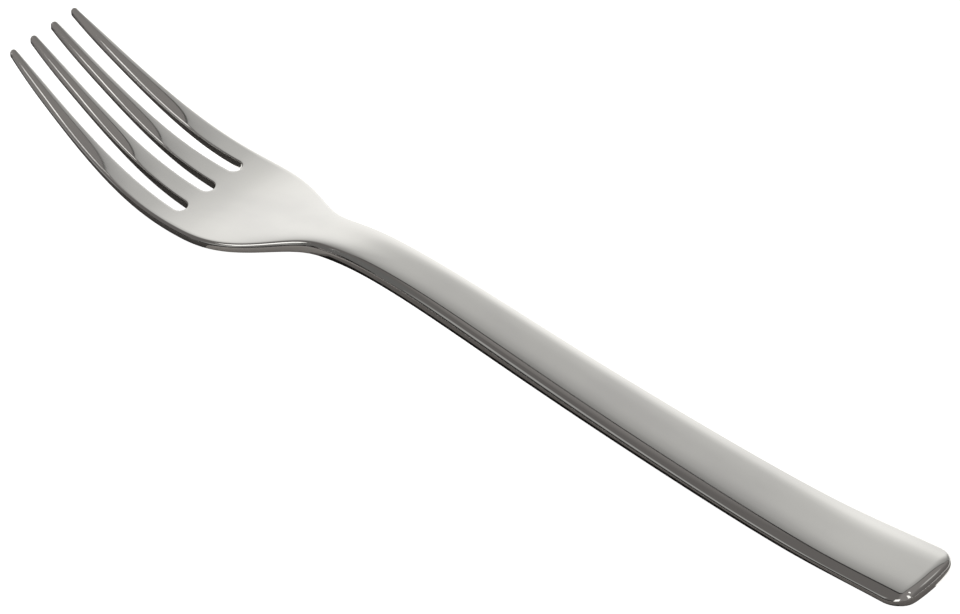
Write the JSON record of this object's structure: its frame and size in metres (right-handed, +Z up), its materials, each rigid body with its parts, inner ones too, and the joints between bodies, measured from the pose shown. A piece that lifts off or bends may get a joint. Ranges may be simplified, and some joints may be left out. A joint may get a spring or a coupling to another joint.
{
  "type": "fruit fork",
  "caption": "Slim polished steel fruit fork with round-rooted slots between its tines, a dished head, an arched neck and a flared, crowned handle.",
  "frame": {"origin": "middle of the fork's length and width, on the table that it lies on", "axes": "+X from the tine tips to the end of the handle, +Y across, +Z up with the hollow side of the head up"},
  "size_m": [0.17, 0.0218, 0.0147],
  "materials": {
    "polished_steel": "mirror-polished stainless steel"
  },
  "bodies": {
    "root": {"fork": "polished_steel"}
  },
  "joints": []
}
